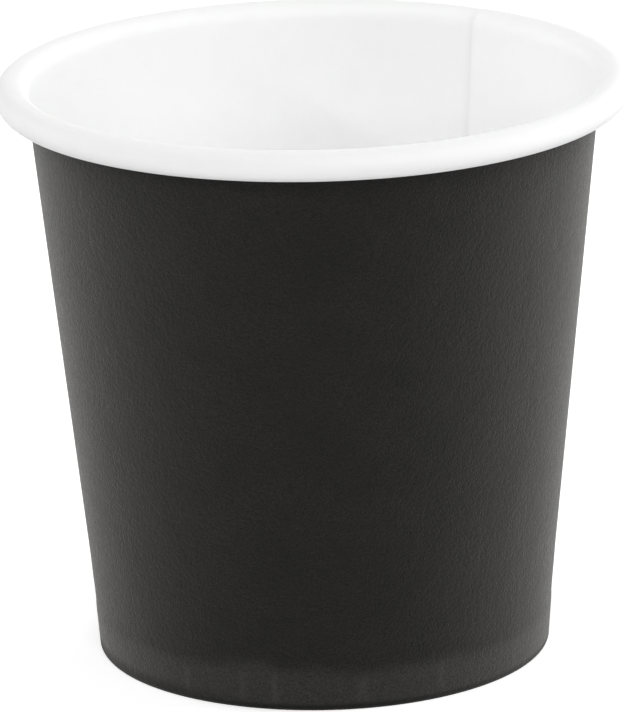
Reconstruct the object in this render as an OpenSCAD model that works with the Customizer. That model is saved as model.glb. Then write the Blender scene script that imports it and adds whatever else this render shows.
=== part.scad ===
// Disposable espresso cup in two pieces of paperboard. The sidewall is one sheet: its free edges are
// lapped and sealed down the side, its top is rolled outwards into a bead and its foot is folded in.
// The base is a round sheet with its edge turned down, and the fold of the sidewall holds that skirt.
// The cup stands on z = 0 with its axis on Z. Sizes are in millimetres and angles in degrees.

/* [Cup] */
// Diameter across the rolled rim
rim_d = 62; // [58:0.5:80]
// Height from the standing edge to the top of the rim
cup_h = 58; // [50:1:100]
// Outside diameter of the foot at the standing edge
foot_d = 44.6; // [40:0.2:50]

/* [Board] */
// Thickness of the sidewall's board
wall_board = 0.3; // [0.22:0.02:0.36]
// Thickness of the base's board
base_board = 0.28; // [0.2:0.02:0.4]
// Film of sealant between the base's skirt and the layers that hold it
seal_film = 0.02; // [0.01:0.01:0.05]

/* [Rolled rim] */
// Height of the rolled bead
bead_h = 2.95; // [2.7:0.05:3.5]
// Radius of the inside lip, where the wall turns over into the bead
lip_r = 1.75; // [1.6:0.05:2.2]
// Angle by which the free edge turns up again inside the bead
tuck_turn = 70; // [30:5:85]

/* [Foot] */
// Depth of the recess under the base
recess_h = 7.3; // [5:0.1:9]
// Distance from the top of the folded hem to the underside of the base
hem_gap = 2.8; // [1.2:0.1:3.2]
// Half angle of the pressed foot, which is steeper than the wall above it
foot_taper = 4.5; // [3.5:0.1:5.5]
// Depth by which the fold is pressed flat where the cup stands on it
foot_press = 0.03; // [0.02:0.01:0.05]
// Radius of the corner where the base turns down into its skirt
corner_r = 0.8; // [0.5:0.1:1]
// Distance from the skirt's cut edge to the inside of the fold
skirt_gap = 0.15; // [0.1:0.05:0.5]

/* [Side seam] */
// Width of the sealed lap, measured round the rim
seam_lap = 6.5; // [4:0.5:9]
// Direction of the inner flap's free edge, seen from above
seam_turn = 54.4; // [0:0.2:359]

/* [Hidden] */
$fn = 180;

// Steps of the round stretches in the sections
fold_steps = 10;
lip_steps = 7;
roll_steps = 14;
tuck_steps = 5;
corner_steps = 6;
// Depth by which the outer flap runs into the wall that it lies on
sink = 0.06;
// Depth by which the flat climb of the outer flap is pressed into the round of the wall
climb_press = 0.05;
// Clearance between the bead's tucked edge and the outer flap of the seam
tuck_gap = 0.05;

rim_r = rim_d / 2;
half_board = wall_board / 2;

// Centrelines of the bead: the lip, the outer roll and the tucked edge are arcs that run into each other
roll_r = (bead_h - wall_board) / 2;
roll_c = [rim_r - half_board - roll_r, cup_h - half_board - roll_r];
lip_c = [roll_c.x, cup_h - half_board - lip_r];

// Centreline of the foot: a half-round fold with the base's skirt in the middle of it
fold_r = (wall_board + base_board) / 2 + seal_film;
fold_c = [foot_d / 2 - half_board - fold_r, half_board + fold_r - foot_press];
foot_up = [sin(foot_taper), cos(foot_taper)];
foot_out = [cos(foot_taper), -sin(foot_taper)];
hem_top = recess_h - hem_gap;
shoulder_h = recess_h + base_board;
shoulder = reach(fold_c + fold_r * foot_out, foot_up, shoulder_h);

// The wall is the line from the shoulder that runs into the lip
to_lip = lip_c - shoulder;
wall_taper = atan2(to_lip.x, to_lip.y) - asin(lip_r / norm(to_lip));
neck = lip_c + lip_r * [-cos(wall_taper), sin(wall_taper)];
tuck_r = min(roll_r, roll_c.x - neck.x - 2 * wall_board - tuck_gap);
tuck_c = [roll_c.x, roll_c.y - roll_r + tuck_r];

// Centreline of the base: flat disc, corner and skirt
disc_z = recess_h + base_board / 2;
corner_z = disc_z - corner_r;
corner_c = [fold_c.x - (corner_r + (fold_c.y - corner_z) * sin(foot_taper)) / cos(foot_taper), corner_z];
skirt_foot = wall_board - foot_press + skirt_gap;

// The lap's width as an angle about the cup's axis, and the turn in which a flat stretch of board climbs
// from the round of the wall to the outside of the inner flap
lap_turn = seam_lap / neck.x * 180 / PI;
climb_turn = acos((neck.x + half_board) / (neck.x + half_board + wall_board));

// The point on a line, given by a point and a direction, that has height z
function reach(p, along, z) = p + along * (z - p.y) / along.y;

// Points [r, z, heading] along an arc. Side is 1 where the centre lies to the right of the run, -1 to the left
function arc_run(c, r, from, to, steps, side, first = 0) =
    [for (i = [first:steps])
        let (h = from + (to - from) * i / steps)
        [c.x - side * r * sin(h), c.y + side * r * cos(h), h]];

// Centreline of the sidewall's sheet in three stretches: the hem from its cut edge down, the flank from the
// fold up to the neck, and the lip with the bead, up to the tucked edge. To its right is the printed face,
// which is outside on the wall and inside in the bead and the foot
function hem_run() =
    let (hem_edge = reach(fold_c - fold_r * foot_out, foot_up, hem_top))
    [[hem_edge.x, hem_edge.y, -90 - foot_taper],
     [fold_c.x - fold_r * foot_out.x, fold_c.y - fold_r * foot_out.y, -90 - foot_taper]];
function flank_run() =
    [[fold_c.x + fold_r * foot_out.x, fold_c.y + fold_r * foot_out.y, 90 - foot_taper],
     [shoulder.x, shoulder.y, 90 - (foot_taper + wall_taper) / 2],
     [neck.x, neck.y, 90 - wall_taper]];
function sheet_run() = concat(
    [hem_run()[0]],
    arc_run(fold_c, fold_r, -90 - foot_taper, 90 - foot_taper, fold_steps, -1),
    [flank_run()[1]],
    arc_run(lip_c, lip_r, 90 - wall_taper, 0, lip_steps, 1),
    arc_run(roll_c, roll_r, 0, -180, roll_steps, 1, 1),
    arc_run(tuck_c, tuck_r, -180, -180 - tuck_turn, tuck_steps, 1, 1)
);

// Centreline of the base, from its middle out to the skirt's cut edge
function base_run() =
    let (skirt_edge = reach(fold_c, foot_up, skirt_foot))
    concat(
        [[0, disc_z, 0]],
        arc_run(corner_c, corner_r, 0, -90 - foot_taper, corner_steps, 1),
        [[skirt_edge.x, skirt_edge.y, -90 - foot_taper]]
    );

// A point moved square to the run, and never under the standing plane
function beside(p, d) = [p[0] + d * sin(p[2]), max(0, p[1] - d * cos(p[2]))];

// Outline of the layer between two distances to the right of a run
function layer(run, near, far) = concat(
    [for (p = run) beside(p, far)],
    [for (i = [len(run) - 1:-1:0]) beside(run[i], near)]
);

// A part turn of a layer, between two directions seen from above
module part_turn(from, to, run, near, far) {
    rotate([0, 0, from])
        rotate_extrude(angle = to - from)
            polygon(layer(run, near, far));
}

// One layer of board, all the way round
module single_board() {
    rotate_extrude()
        polygon(layer(sheet_run(), -half_board, half_board));
}

// The space on one side of a plane square to the middle of the climb, side 1 outside it and side -1 inside.
// The plane lies at distance d outside a point of the wall's centreline and leans as the wall does there
module beyond(p, taper, d, side) {
    rotate([0, 0, seam_turn + climb_turn])
        translate([p.x, 0, p.y])
            rotate([0, taper, 0])
                translate([d + side * rim_r / 2, 0, 0])
                    cube([rim_r, rim_d, 2 * cup_h], center = true);
}

// The outer flap lies on the outside of the flank and comes down flat beside the inner flap's free edge
module outer_flap() {
    difference() {
        part_turn(
            seam_turn - lap_turn, seam_turn + climb_turn, flank_run(),
            half_board - sink, half_board + wall_board
        );
        intersection() {
            beyond(shoulder, foot_taper, half_board - climb_press, 1);
            beyond(shoulder, wall_taper, half_board - climb_press, 1);
        }
    }
}

// In the hem, which is folded over, the outer flap lies on the inside
module hem_flap() {
    part_turn(seam_turn - lap_turn, seam_turn, hem_run(), half_board - sink, half_board + wall_board);
}

// Room inside the climb, where the inner flap's free edge is left standing as a step
module climb_room() {
    intersection() {
        part_turn(seam_turn, seam_turn + climb_turn, inside_run(), -half_board - sink, half_board);
        beyond(neck, wall_taper, -half_board - climb_press, -1);
    }
}

// The flank above the base, where the inside of the wall is open to view
function inside_run() =
    let (low = shoulder + (neck - shoulder) * (2 * corner_r) / (neck - shoulder).y)
    [[low.x, low.y, 90 - wall_taper], [neck.x, neck.y, 90 - wall_taper]];

module sidewall() {
    color("#2c2b2a")
        difference() {
            union() {
                single_board();
                outer_flap();
                hem_flap();
            }
            climb_room();
        }
}

module base_disc() {
    color("#f4f3f0")
        rotate_extrude()
            polygon(layer(base_run(), -base_board / 2, base_board / 2));
}

sidewall();
base_disc();
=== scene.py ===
import math

import bpy
import numpy as np
from mathutils import Euler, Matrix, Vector


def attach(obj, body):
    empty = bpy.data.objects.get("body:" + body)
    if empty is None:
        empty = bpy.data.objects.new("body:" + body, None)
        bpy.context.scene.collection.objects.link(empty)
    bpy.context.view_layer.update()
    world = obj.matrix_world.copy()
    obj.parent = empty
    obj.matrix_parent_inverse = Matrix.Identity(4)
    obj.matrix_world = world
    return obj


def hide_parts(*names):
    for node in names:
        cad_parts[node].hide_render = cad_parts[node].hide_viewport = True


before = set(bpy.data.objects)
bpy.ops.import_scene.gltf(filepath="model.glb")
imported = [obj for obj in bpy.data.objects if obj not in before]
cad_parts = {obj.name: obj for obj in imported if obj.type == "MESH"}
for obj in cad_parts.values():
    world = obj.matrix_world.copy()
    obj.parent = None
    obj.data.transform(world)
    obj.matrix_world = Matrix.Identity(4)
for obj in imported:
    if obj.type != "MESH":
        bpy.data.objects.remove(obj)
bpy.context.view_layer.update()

MM = 0.001

# Sizes of the cup in millimetres, as in the solids
RIM_R = 31.0
CUP_H = 58.0
FOOT_R = 22.3
WALL_BOARD = 0.3
BASE_BOARD = 0.28
SEAL_FILM = 0.02
BEAD_H = 2.95
LIP_R = 1.75
TUCK_TURN = math.radians(70.0)
RECESS_H = 7.3
HEM_TOP = 4.5
FOOT_TAPER = math.radians(4.5)
FOOT_PRESS = 0.03
CORNER_R = 0.8
SKIRT_GAP = 0.15
SEAM_LAP = 6.5
SEAM_DEG = 54.4
TUCK_GAP = 0.05

HALF = WALL_BOARD / 2

# How far the layers under the printed face press it out, in millimetres, and over what height that fades
HEM_RELIEF, HEM_FADE = 0.05, 0.6
DISC_RELIEF, DISC_FADE = 0.035, 0.9

# Rings of the meshes, and the turn in degrees that a flap's cut edge takes up
WALL_RINGS = 400
LAP_RINGS = 14
CLIMB_RINGS = 18
BASE_RINGS = 240
EDGE_DEG = 0.08

# Centrelines of the bead and the foot, as points r, z
ROLL_R = (BEAD_H - WALL_BOARD) / 2
ROLL_C = np.array([RIM_R - HALF - ROLL_R, CUP_H - HALF - ROLL_R])
LIP_C = np.array([ROLL_C[0], CUP_H - HALF - LIP_R])
FOLD_R = (WALL_BOARD + BASE_BOARD) / 2 + SEAL_FILM
FOLD_C = np.array([FOOT_R - HALF - FOLD_R, HALF + FOLD_R - FOOT_PRESS])
FOOT_UP = np.array([math.sin(FOOT_TAPER), math.cos(FOOT_TAPER)])
FOOT_OUT = np.array([math.cos(FOOT_TAPER), -math.sin(FOOT_TAPER)])


def reach(point, along, height):
    """The point on a line that has this height."""
    return point + along * (height - point[1]) / along[1]


# The wall is the line from the shoulder over the base that runs into the lip
SHOULDER = reach(FOLD_C + FOLD_R * FOOT_OUT, FOOT_UP, RECESS_H + BASE_BOARD)
TO_LIP = LIP_C - SHOULDER
WALL_TAPER = math.atan2(TO_LIP[0], TO_LIP[1]) - math.asin(LIP_R / np.linalg.norm(TO_LIP))
NECK = LIP_C + LIP_R * np.array([-math.cos(WALL_TAPER), math.sin(WALL_TAPER)])
TUCK_R = min(ROLL_R, ROLL_C[0] - NECK[0] - 2 * WALL_BOARD - TUCK_GAP)
TUCK_C = np.array([ROLL_C[0], ROLL_C[1] - ROLL_R + TUCK_R])

# Turns of the lap and of the flat stretch in which the outer flap climbs over the inner flap's edge
LAP_DEG = math.degrees(SEAM_LAP / NECK[0])
CLIMB_DEG = math.degrees(math.acos((NECK[0] + HALF) / (NECK[0] + HALF + WALL_BOARD)))

# Headings of the section in radians: down and up the foot, and up the wall
DOWN = -math.pi / 2 - FOOT_TAPER
UP = math.pi / 2 - FOOT_TAPER
RISE = math.pi / 2 - WALL_TAPER


def arc(centre, radius, start, end, steps, side, first=0):
    """Points r, z, heading along an arc, whose centre is right of the run for side 1 and left for side -1."""
    h = np.linspace(start, end, steps + 1)[first:]
    return np.stack([centre[0] - side * radius * np.sin(h), centre[1] + side * radius * np.cos(h), h], 1)


def straight(a, b, heading, steps):
    """Points r, z, heading between a and b, without the two ends."""
    t = np.linspace(0, 1, steps + 1)[1:-1, None]
    points = a + (b - a) * t
    return np.column_stack([points, np.full(len(points), heading)])


# Stretches of the sheet's section
HEM, FOLD, FOOT, WALL, LIP, BEAD = range(6)


def sheet_run():
    """Centreline of the sidewall from the hem's cut edge to the tucked edge, and the stretch of each point."""
    inner, outer = FOLD_C - FOLD_R * FOOT_OUT, FOLD_C + FOLD_R * FOOT_OUT
    hem_edge = reach(inner, FOOT_UP, HEM_TOP)
    parts = [
        (HEM, np.array([[*hem_edge, DOWN]])),
        (HEM, straight(hem_edge, inner, DOWN, 6)),
        (FOLD, arc(FOLD_C, FOLD_R, DOWN, UP, 14, -1)),
        (FOOT, straight(outer, SHOULDER, UP, 18)),
        (WALL, np.array([[*SHOULDER, (UP + RISE) / 2]])),
        (WALL, straight(SHOULDER, NECK, RISE, 22)),
        (LIP, arc(LIP_C, LIP_R, RISE, 0, 10, 1)),
        (BEAD, arc(ROLL_C, ROLL_R, 0, -math.pi, 24, 1, 1)),
        (BEAD, arc(TUCK_C, TUCK_R, -math.pi, -math.pi - TUCK_TURN, 8, 1, 1)),
    ]
    run = np.concatenate([points for _, points in parts])
    kind = np.concatenate([np.full(len(points), stretch) for stretch, points in parts])
    return run, kind


RUN, KIND = sheet_run()
ALONG = np.concatenate([[0], np.cumsum(np.hypot(*np.diff(RUN[:, :2], axis=0).T))])

# Where the printed face looks outwards: from halfway round the fold up to the neck
PRINT_OUTSIDE = (KIND >= FOLD) & (KIND <= WALL) & (RUN[:, 2] > 0.5)

# How much of a flap's step is left in the bead, where it is pressed flat: at the bottom, the crest and the neck
STEP_LEFT = np.interp(RUN[:, 2], [-math.pi, 0, RISE], [0.1, 0.15, 1.0])
STEP_LEFT[KIND < LIP] = 1.0


def smooth(u):
    u = np.clip(u, 0, 1)
    return u * u * (3 - 2 * u)


def relief(z):
    """How far the printed face stands out at this height, over the hem and round the base's corner."""
    hem = HEM_RELIEF * smooth((HEM_TOP + 0.25 - z) / HEM_FADE)
    disc = DISC_RELIEF * np.exp(-(((z - RECESS_H - 0.2) / DISC_FADE) ** 2))
    return hem + disc


def beside(run, off):
    """Points r, z to the right of a run, never under the table."""
    r = run[:, 0] + off * np.sin(run[:, 2])
    z = np.maximum(0.0, run[:, 1] - off * np.cos(run[:, 2]))
    return np.stack([r, z], 1)


def sheet_section(near_share, far_share):
    """Closed section of the sidewall, with the share of the climb on its white near and its printed far side."""
    far = HALF + WALL_BOARD * far_share * STEP_LEFT + np.where(PRINT_OUTSIDE, relief(RUN[:, 1]), 0.0)
    near = -HALF + WALL_BOARD * near_share * STEP_LEFT
    return np.concatenate([beside(RUN, far), beside(RUN, near)[::-1]])


def climb_share(left):
    """Share of the climb where this many degrees are left of it: the board is flat there, not round."""
    rise = 1 / math.cos(math.radians(left)) - 1
    return rise / (1 / math.cos(math.radians(CLIMB_DEG)) - 1)


def ring_plan():
    """Directions of the rings in degrees with the share of the climb on the sheet's near and far side."""
    lap_start, climb_end = SEAM_DEG - LAP_DEG, SEAM_DEG + CLIMB_DEG
    plan = []
    for k in range(LAP_RINGS + 1):
        plan.append((lap_start + EDGE_DEG + (LAP_DEG - EDGE_DEG) * k / LAP_RINGS, 0.0, 1.0))
    for k in range(CLIMB_RINGS + 1):
        share = climb_share(CLIMB_DEG * (1 - k / CLIMB_RINGS))
        plan.append((SEAM_DEG + EDGE_DEG + (CLIMB_DEG - EDGE_DEG) * k / CLIMB_RINGS, share, share))
    for k in range(1, WALL_RINGS + 1):
        plan.append((climb_end + (360 + lap_start - climb_end) * k / WALL_RINGS, 0.0, 0.0))
    return plan


def on_ring(section, a):
    """Points x, y, z in metres of a section r, z turned to a direction in radians."""
    r, z = section[:, 0], section[:, 1]
    return np.column_stack([r * math.cos(a), r * math.sin(a), z]) * MM


def add_mesh(name, verts, faces, mats, uvs, slots, sharp):
    """A mesh object with a material index for each face and UVs for each corner."""
    mesh = bpy.data.meshes.new(name)
    mesh.from_pydata([tuple(v) for v in verts], [], faces)
    for mat in mats:
        mesh.materials.append(mat)
    mesh.polygons.foreach_set("material_index", slots)
    mesh.polygons.foreach_set("use_smooth", [True] * len(faces))
    layer = mesh.uv_layers.new(name="UVMap")
    layer.data.foreach_set("uv", np.asarray(uvs, np.float32).ravel())
    mesh.set_sharp_from_angle(angle=math.radians(sharp))
    mesh.validate()
    obj = bpy.data.objects.new(name, mesh)
    bpy.context.scene.collection.objects.link(obj)
    return obj


def make_sidewall(printed, white, raw):
    """The lapped sheet: a closed loop of points on each ring, joined all the way round."""
    plan = ring_plan()
    n = len(RUN)
    loop = 2 * n
    verts = np.concatenate([on_ring(sheet_section(near, far), math.radians(a)) for a, near, far in plan])
    along = np.concatenate([ALONG, ALONG[::-1]])
    faces, slots, uvs = [], [], []
    for k in range(len(plan)):
        k2 = (k + 1) % len(plan)
        (a0, near0, far0), (a1, near1, far1) = plan[k], plan[k2]
        turn = (a1 - a0) % 360
        narrow = turn < 2 * EDGE_DEG
        far_slot = 2 if narrow and far0 != far1 else 0
        near_slot = 2 if narrow and near0 != near1 else 1
        u0 = math.radians(a0) * NECK[0] * MM
        u1 = u0 + math.radians(turn) * NECK[0] * MM
        for j in range(loop):
            j2 = (j + 1) % loop
            faces.append((k * loop + j, k2 * loop + j, k2 * loop + j2, k * loop + j2))
            cut_edge = j in (n - 1, loop - 1)
            slots.append(2 if cut_edge else far_slot if j < n - 1 else near_slot)
            v0, v1 = along[j] * MM, along[j2] * MM
            uvs += [(u0, v0), (u1, v0), (u1, v1), (u0, v1)]
    return add_mesh("sidewall_sheet", verts, faces, [printed, white, raw], uvs, slots, 32)


def base_run():
    """Centreline of the base, from its middle to the skirt's cut edge."""
    disc_z = RECESS_H + BASE_BOARD / 2
    corner_z = disc_z - CORNER_R
    to_skirt = (CORNER_R + (FOLD_C[1] - corner_z) * math.sin(FOOT_TAPER)) / math.cos(FOOT_TAPER)
    corner = np.array([FOLD_C[0] - to_skirt, corner_z])
    skirt_edge = reach(FOLD_C, FOOT_UP, WALL_BOARD - FOOT_PRESS + SKIRT_GAP)
    radii = np.array([0, 0.6, 2, 4, 7, 10, 13, 16, 18.5, 20])
    disc = np.column_stack([radii, np.full(len(radii), disc_z), np.zeros(len(radii))])
    bend = arc(corner, CORNER_R, 0, DOWN, 10, 1)
    skirt = straight(bend[-1, :2], skirt_edge, DOWN, 8)
    return np.concatenate([disc, bend, skirt, [[*skirt_edge, DOWN]]])


def make_base(white, bare, raw):
    """The base disc with its skirt: a turned section that is closed by two points on the axis."""
    run = base_run()
    n = len(run)
    section = np.concatenate([beside(run, BASE_BOARD / 2), beside(run, -BASE_BOARD / 2)[::-1]])
    inner = section[1:-1]
    m = len(inner)
    verts = [(0, 0, section[0, 1] * MM), (0, 0, section[-1, 1] * MM)]
    for k in range(BASE_RINGS):
        verts += [tuple(v) for v in on_ring(inner, 2 * math.pi * k / BASE_RINGS)]
    faces, slots, uvs = [], [], []

    def add(face, slot):
        faces.append(face)
        slots.append(slot)
        uvs.extend((verts[i][0], verts[i][1]) for i in face)

    for k in range(BASE_RINGS):
        a, b = 2 + k * m, 2 + (k + 1) % BASE_RINGS * m
        add((0, b, a), 1)
        add((1, a + m - 1, b + m - 1), 0)
        for j in range(m - 1):
            slot = 1 if j < n - 2 else 2 if j == n - 2 else 0
            add((a + j, b + j, b + j + 1, a + j + 1), slot)
    return add_mesh("base_board", verts, faces, [white, bare, raw], uvs, slots, 40)


# Colours, linear
INK_LOW, INK_HIGH = (0.0003, 0.0003, 0.0003), (0.0090, 0.0083, 0.0076)
# Hem band painted lighter than the ink, as the sheen of the pressed band
HEM_PAINTED_SHEEN_LOW, HEM_PAINTED_SHEEN_HIGH = (0.013, 0.0127, 0.0122), (0.036, 0.0352, 0.034)
# Painted highlight of the knurl strokes
STROKE_HIGHLIGHT = (0.045, 0.044, 0.042)
# Painted shade along the foot's bottom edge, where it turns under towards the table
FOLD_PAINTED_SHADE = (0.0015, 0.0015, 0.0015)
INK_SHEEN = (1.0, 0.975, 0.95, 1)
COATED_WHITE = (0.94, 0.94, 0.94)
# Painted shade: the same coated board, darker on the bead, whose top catches more light
SHADED_BEAD_WHITE = (0.86, 0.86, 0.86)
BARE_WHITE = (0.82, 0.81, 0.785)
# Pulp painted darker than its own cream, as shade at the cut edges
SHADED_PULP_LOW, SHADED_PULP_HIGH = (0.56, 0.545, 0.52), (0.76, 0.745, 0.72)
FLOOR_LOW, FLOOR_HIGH = (0.78, 0.78, 0.78), (0.80, 0.80, 0.80)

# Range in which nearly all values of a noise lie, and a narrower one that gives harder specks
NOISE_LOW, NOISE_HIGH = 0.3, 0.7
SPECK_LOW, SPECK_HIGH = 0.36, 0.64

# Radius in millimetres where the inside's white gives way to the darker white painted as shade on the bead, and
# half the fade
BEAD_SHADE_FROM, BEAD_SHADE_FADE = 28.6, 0.7


class Nodes:
    """Builds a material's node tree in a few words."""

    def __init__(self, name):
        self.mat = bpy.data.materials.new(name)
        self.mat.use_nodes = True
        self.tree = self.mat.node_tree
        self.shader = self.tree.nodes["Principled BSDF"]
        self.output = self.tree.nodes["Material Output"]

    def add(self, kind, **values):
        node = self.tree.nodes.new(kind)
        for key, value in values.items():
            setattr(node, key, value)
        return node

    def link(self, source, target):
        self.tree.links.new(source, target)

    def set(self, **values):
        """Sets the shader's sockets, whose names are written with underscores."""
        for name, value in values.items():
            self.shader.inputs[name.replace("_", " ")].default_value = value

    def place(self):
        return self.add("ShaderNodeTexCoord").outputs["Object"]

    def noise(self, vector, scale, detail, rough, stretch=None):
        """Noise from 0 to 1. The scale is about the number of spots in a metre."""
        if stretch:
            mapping = self.add("ShaderNodeMapping")
            mapping.inputs["Scale"].default_value = stretch
            self.link(vector, mapping.inputs["Vector"])
            vector = mapping.outputs["Vector"]
        node = self.add("ShaderNodeTexNoise")
        self.link(vector, node.inputs["Vector"])
        node.inputs["Scale"].default_value = scale
        node.inputs["Detail"].default_value = detail
        node.inputs["Roughness"].default_value = rough
        return node.outputs["Fac"]

    def ramp(self, value, stops, blend="LINEAR"):
        """Colour of a value, from (value, colour) stops."""
        node = self.add("ShaderNodeValToRGB")
        node.color_ramp.interpolation = blend
        self.link(value, node.inputs["Fac"])
        elements = node.color_ramp.elements
        while len(elements) < len(stops):
            elements.new(0.5)
        for element, (at, colour) in zip(elements, stops):
            element.position = at
            element.color = (*colour, 1)
        return node.outputs["Color"]

    def tones(self, noise, low, high):
        """Colours between two by a noise."""
        return self.ramp(noise, [(NOISE_LOW, low), (NOISE_HIGH, high)])

    def specks(self, noise, low, high):
        """Colours between two by a noise, with harder specks."""
        return self.ramp(noise, [(SPECK_LOW, low), (SPECK_HIGH, high)])

    def spread(self, noise, low, high):
        """Values between two by a noise."""
        return self.map(noise, NOISE_LOW, NOISE_HIGH, low, high, "LINEAR")

    def below(self, value, limit, fade):
        """1 where a value is under a limit and 0 where it is over it, with a soft edge."""
        return self.map(value, limit - fade, limit + fade, 1.0, 0.0, "SMOOTHSTEP")

    def below_height(self, limit, fade):
        return self.below(self.coordinate("Z"), limit, fade)

    def map(self, value, from_min, from_max, to_min, to_max, kind):
        node = self.add("ShaderNodeMapRange", interpolation_type=kind)
        self.link(value, node.inputs["Value"])
        node.inputs["From Min"].default_value = from_min
        node.inputs["From Max"].default_value = from_max
        node.inputs["To Min"].default_value = to_min
        node.inputs["To Max"].default_value = to_max
        return node.outputs["Result"]

    def math(self, operation, a, b=0.0):
        node = self.add("ShaderNodeMath", operation=operation)
        for socket, value in zip(node.inputs, (a, b)):
            if isinstance(value, (int, float)):
                socket.default_value = value
            else:
                self.link(value, socket)
        return node.outputs["Value"]

    def times(self, a, b):
        return self.math("MULTIPLY", a, b)

    def mix(self, factor, a, b, how="MIX"):
        node = self.add("ShaderNodeMix", data_type="RGBA", blend_type=how)
        for socket, value in zip((node.inputs[0], node.inputs[6], node.inputs[7]), (factor, a, b)):
            if isinstance(value, (tuple, float, int)):
                socket.default_value = (*value, 1) if isinstance(value, tuple) else value
            else:
                self.link(value, socket)
        return node.outputs[2]

    def tint(self, a, b):
        return self.mix(1.0, a, b, "MULTIPLY")

    def bump(self, heights):
        """Chained bumps from (height, distance in metres) pairs."""
        normal = None
        for height, distance in heights:
            node = self.add("ShaderNodeBump")
            node.inputs["Strength"].default_value = 1.0
            node.inputs["Distance"].default_value = distance
            self.link(height, node.inputs["Height"])
            if normal is not None:
                self.link(normal, node.inputs["Normal"])
            normal = node.outputs["Normal"]
        self.link(normal, self.shader.inputs["Normal"])

    def coordinate(self, axis):
        split = self.add("ShaderNodeSeparateXYZ")
        self.link(self.place(), split.inputs[0])
        return split.outputs[axis]

    def radius(self):
        """Distance from the cup's axis in metres."""
        x, y = self.coordinate("X"), self.coordinate("Y")
        return self.math("SQRT", self.math("ADD", self.times(x, x), self.times(y, y)))

    def turn(self):
        """Direction round the cup's axis, as a share of a full turn from +X."""
        angle = self.math("ARCTAN2", self.coordinate("Y"), self.coordinate("X"))
        return self.math("FRACT", self.math("DIVIDE", angle, 2 * math.pi))


# Deeper strokes of the knurling on the foot, in degrees from +X, with their strengths: those in view and those
# round the back, about 25 degrees apart
rng = np.random.default_rng(7)
SEEN_STROKES = [(233.4, 0.9), (249.3, 0.9), (257.5, 1.0), (279.1, 1.0), (299.9, 0.9), (325.4, 0.7)]
HIDDEN_STROKES = [
    (float(a) % 360, float(s))
    for a, s in zip(348 + np.arange(9) * 25 + rng.uniform(-7, 7, 9), rng.uniform(0.4, 1, 9))
]
STROKE_HALF = 0.004


def knurl_strokes(n):
    """Soft strokes round the foot: 1 in the middle of a stroke and 0 between them."""
    share = n.turn()
    nothing = (0, 0, 0)
    rings = []
    for group in (SEEN_STROKES, HIDDEN_STROKES):
        stops = [(0.0, nothing)]
        for degrees, strength in sorted(group):
            at = degrees / 360
            stops += [(at - STROKE_HALF, nothing), (at, (strength,) * 3), (at + STROKE_HALF, nothing)]
        rings.append(n.ramp(share, stops, "EASE"))
    height = n.math("SUBTRACT", n.below_height(3.6 * MM, 0.9 * MM), n.below_height(1.0 * MM, 0.4 * MM))
    return n.times(n.math("ADD", *rings), height)


def printed_board():
    """Matte black print on paperboard: a speckled ink film over a fine grain, with a lighter hem band painted as
    the sheen of the pressed band, lighter knurl strokes painted as their highlights, and painted shade along the
    bottom edge.
    """
    n = Nodes("printed_black_board")
    at = n.place()
    speck = n.noise(at, 5200, 2, 0.7)
    grain = n.noise(at, 2100, 3, 0.65)
    cloud = n.noise(at, 160, 4, 0.55)
    wave = n.spread(n.noise(at, 90, 2, 0.5), -0.4 * MM, 1.0 * MM)

    ink = n.tint(n.specks(speck, INK_LOW, INK_HIGH), n.tones(cloud, (0.7, 0.7, 0.7), (1.3, 1.3, 1.3)))
    hem = n.below(n.math("ADD", n.coordinate("Z"), wave), HEM_TOP * MM, 1.1 * MM)
    # The knurl strokes: a real bump, with a lighter colour painted as their highlight
    stroke_relief_and_highlight = n.times(knurl_strokes(n), n.spread(grain, 0.1, 1.0))
    # Painted shade: the bottom edge darker, in a taller band on the left, where it turns under towards the table
    left_painted_shade = n.times(n.below(n.coordinate("X"), -11 * MM, 6 * MM), n.below_height(1.1 * MM, 0.7 * MM))
    fold = n.math("MAXIMUM", n.below_height(0.6 * MM, 0.3 * MM), left_painted_shade)

    # Painted sheen: the hem band lighter than the ink above it
    colour = n.mix(n.times(hem, 0.74), ink, n.specks(speck, HEM_PAINTED_SHEEN_LOW, HEM_PAINTED_SHEEN_HIGH))
    colour = n.mix(n.times(stroke_relief_and_highlight, 0.75), colour, STROKE_HIGHLIGHT)
    colour = n.mix(fold, colour, FOLD_PAINTED_SHADE)
    n.link(colour, n.shader.inputs["Base Color"])
    n.link(n.math("ADD", n.spread(grain, 0.36, 0.52), n.times(fold, 0.4)), n.shader.inputs["Roughness"])
    n.set(Specular_IOR_Level=0.05, Sheen_Weight=0.17, Sheen_Roughness=0.6, Sheen_Tint=INK_SHEEN)
    n.bump([(stroke_relief_and_highlight, 0.03 * MM), (cloud, 0.12 * MM), (grain, 0.06 * MM), (speck, 0.06 * MM)])
    return n.mat


def seam_shade(n, colour):
    """A colour that darkens beside the inner flap's edge, where little light comes under the step."""
    edge = SEAM_DEG / 360
    shades = [(edge - 0.0003, 1.0), (edge, 0.9), (edge + 0.0012, 0.95), (edge + 0.0035, 1.0)]
    return n.ramp(n.turn(), [(at, tuple(c * shade for c in colour)) for at, shade in shades])


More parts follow.
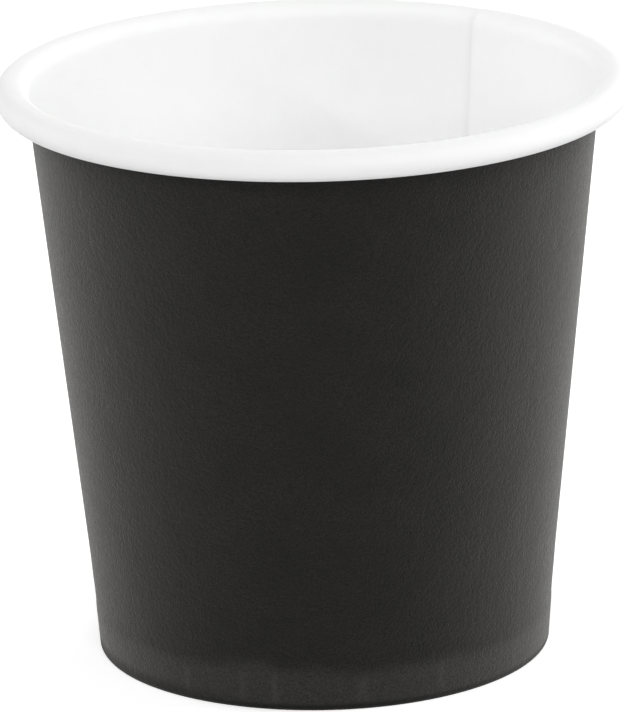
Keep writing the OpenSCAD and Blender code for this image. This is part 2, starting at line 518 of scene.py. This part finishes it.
def white_board(name, colour, rough, relief_m, bead_shade=None, seam=False):
    """White board with a faint fibre pattern in colour, gloss and relief, a darker white painted as shade on the
    bead, and painted shade beside the seam's step when asked.
    """
    n = Nodes(name)
    at = n.place()
    fine = n.noise(at, 1800, 3, 0.6)
    fibre = n.noise(at, 420, 4, 0.6)
    if seam:
        colour = seam_shade(n, colour)
    if bead_shade:
        # Painted shade: a darker white on the bead
        colour = n.mix(n.below(n.radius(), BEAD_SHADE_FROM * MM, BEAD_SHADE_FADE * MM), bead_shade, colour)
    faint = n.tones(fibre, (0.987, 0.987, 0.986), (1.0, 1.0, 1.0))
    n.link(n.tint(colour, faint), n.shader.inputs["Base Color"])
    n.link(n.spread(fine, *rough), n.shader.inputs["Roughness"])
    n.set(Specular_IOR_Level=0.18)
    n.bump([(fibre, relief_m), (fine, relief_m * 0.3)])
    return n.mat


def raw_board():
    """Cut edge of the board, where the layers of pulp show as fine lines, painted darker than the pulp's own
    cream as shade at the cut edge.
    """
    n = Nodes("raw_board_edge")
    layers = n.noise(n.place(), 1500, 4, 0.65, stretch=(1.0, 1.0, 0.3))
    n.link(n.tones(layers, SHADED_PULP_LOW, SHADED_PULP_HIGH), n.shader.inputs["Base Color"])
    n.link(n.spread(layers, 0.75, 0.95), n.shader.inputs["Roughness"])
    n.bump([(layers, 0.04 * MM)])
    return n.mat


# Light of the background: what the floor and the world add for rays that show them, the world's light on the
# cup, and the lamps with their direction in degrees from +X, height, distance, size in metres and power in watts
FLOOR_GLOW = 0.5
WORLD_SEEN = 1.0
WORLD_LIGHT = 0.355
LAMP_AIM = Vector((0, 0, 0.03))
LAMPS = [
    ("key_right", 0, 0.64, 0.66, (0.4, 0.4), 3.1),
    ("fill_front", 270, 0.38, 0.66, (0.4, 0.4), 2.2),
    ("back_left", 150, 0.38, 0.66, (0.4, 0.4), 1.8),
    ("back_right", 60, 0.38, 0.66, (0.4, 0.4), 1.3),
    ("strip_right", 10, 0.045, 0.5, (0.36, 0.07), 0.45),
    ("spot_left", 201.4, 0.305, 0.655, (0.03, 0.03), 0.52),
]


def background_rays(tree):
    """1 for rays from the camera and for those that a surface mirrors or lets through, and 0 for the others."""
    path = tree.nodes.new("ShaderNodeLightPath")
    seen = path.outputs["Is Camera Ray"]
    for kind in ("Is Glossy Ray", "Is Transmission Ray"):
        either = tree.nodes.new("ShaderNodeMath")
        either.operation = "MAXIMUM"
        tree.links.new(seen, either.inputs[0])
        tree.links.new(path.outputs[kind], either.inputs[1])
        seen = either.outputs[0]
    return seen


def floor_material():
    """Pale matte table, which looks white but for the cup's shadow."""
    n = Nodes("floor_white")
    grain = n.noise(n.place(), 60, 3, 0.5)
    n.link(n.tones(grain, FLOOR_LOW, FLOOR_HIGH), n.shader.inputs["Base Color"])
    n.link(n.spread(grain, 0.8, 0.9), n.shader.inputs["Roughness"])
    n.set(Specular_IOR_Level=0.1)
    glow = n.add("ShaderNodeEmission")
    n.link(n.times(background_rays(n.tree), FLOOR_GLOW), glow.inputs["Strength"])
    both = n.add("ShaderNodeAddShader")
    n.link(n.shader.outputs[0], both.inputs[0])
    n.link(glow.outputs[0], both.inputs[1])
    n.link(both.outputs[0], n.output.inputs["Surface"])
    return n.mat


def make_floor():
    half = 3.0
    corners = [(-half, -half, 0), (half, -half, 0), (half, half, 0), (-half, half, 0)]
    mesh = bpy.data.meshes.new("floor")
    mesh.from_pydata(corners, [], [(0, 1, 2, 3)])
    mesh.materials.append(floor_material())
    obj = bpy.data.objects.new("floor", mesh)
    bpy.context.scene.collection.objects.link(obj)


def softbox(name, azimuth, height, distance, size, power):
    """A rectangular lamp aimed at the cup."""
    light = bpy.data.lights.new(name, "AREA")
    light.shape = "RECTANGLE"
    light.size, light.size_y = size
    light.energy = power
    obj = bpy.data.objects.new(name, light)
    a = math.radians(azimuth)
    obj.location = (distance * math.cos(a), distance * math.sin(a), height)
    obj.rotation_euler = (LAMP_AIM - obj.location).to_track_quat("-Z", "Y").to_euler()
    bpy.context.scene.collection.objects.link(obj)


def make_world():
    world = bpy.data.worlds.new("studio")
    bpy.context.scene.world = world
    world.use_nodes = True
    tree = world.node_tree
    back = tree.nodes["Background"]
    back.inputs["Color"].default_value = (1, 1, 1, 1)
    level = tree.nodes.new("ShaderNodeMapRange")
    tree.links.new(background_rays(tree), level.inputs["Value"])
    level.inputs["To Min"].default_value = WORLD_LIGHT
    level.inputs["To Max"].default_value = WORLD_SEEN
    tree.links.new(level.outputs[0], back.inputs["Strength"])


# The photograph's camera, fitted to the rim, the wall and the foot: pixels, millimetres and degrees
FOCAL_PX, FRAME_PX = 7054.509, 712
CAMERA_DISTANCE = 694.855
CAMERA_PITCH, CAMERA_ROLL = math.radians(16.7332), math.radians(1.2304)
CAMERA_AIM = Vector((-0.5687, 0, 29.1349))
SENSOR = 36.0


def make_camera():
    data = bpy.data.cameras.new("camera")
    data.sensor_width = SENSOR
    data.lens = FOCAL_PX * SENSOR / FRAME_PX
    data.clip_start, data.clip_end = 0.05, 20
    obj = bpy.data.objects.new("camera", data)
    back = Vector((0, -math.cos(CAMERA_PITCH), math.sin(CAMERA_PITCH)))
    obj.location = (CAMERA_AIM + back * CAMERA_DISTANCE) * MM
    obj.rotation_mode = "XYZ"
    pitch = Euler((math.pi / 2 - CAMERA_PITCH, 0, 0)).to_matrix()
    roll = Euler((0, 0, -CAMERA_ROLL)).to_matrix()
    obj.rotation_euler = (pitch @ roll).to_euler()
    bpy.context.scene.collection.objects.link(obj)
    bpy.context.scene.camera = obj


bpy.context.scene.view_settings.view_transform = "Standard"
printed = printed_board()
coated = white_board("white_coated_board", COATED_WHITE, (0.48, 0.66), 0.03 * MM, bead_shade=SHADED_BEAD_WHITE, seam=True)
disc_coated = white_board("white_disc_board", COATED_WHITE, (0.48, 0.66), 0.03 * MM)
bare = white_board("white_bare_board", BARE_WHITE, (0.75, 0.9), 0.06 * MM)
raw = raw_board()

sidewall = make_sidewall(printed, coated, raw)
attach(sidewall, "root")
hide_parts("sidewall")

base = make_base(disc_coated, bare, raw)
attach(base, "root")
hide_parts("base_disc")

make_floor()
make_world()
for lamp in LAMPS:
    softbox(*lamp)
make_camera()
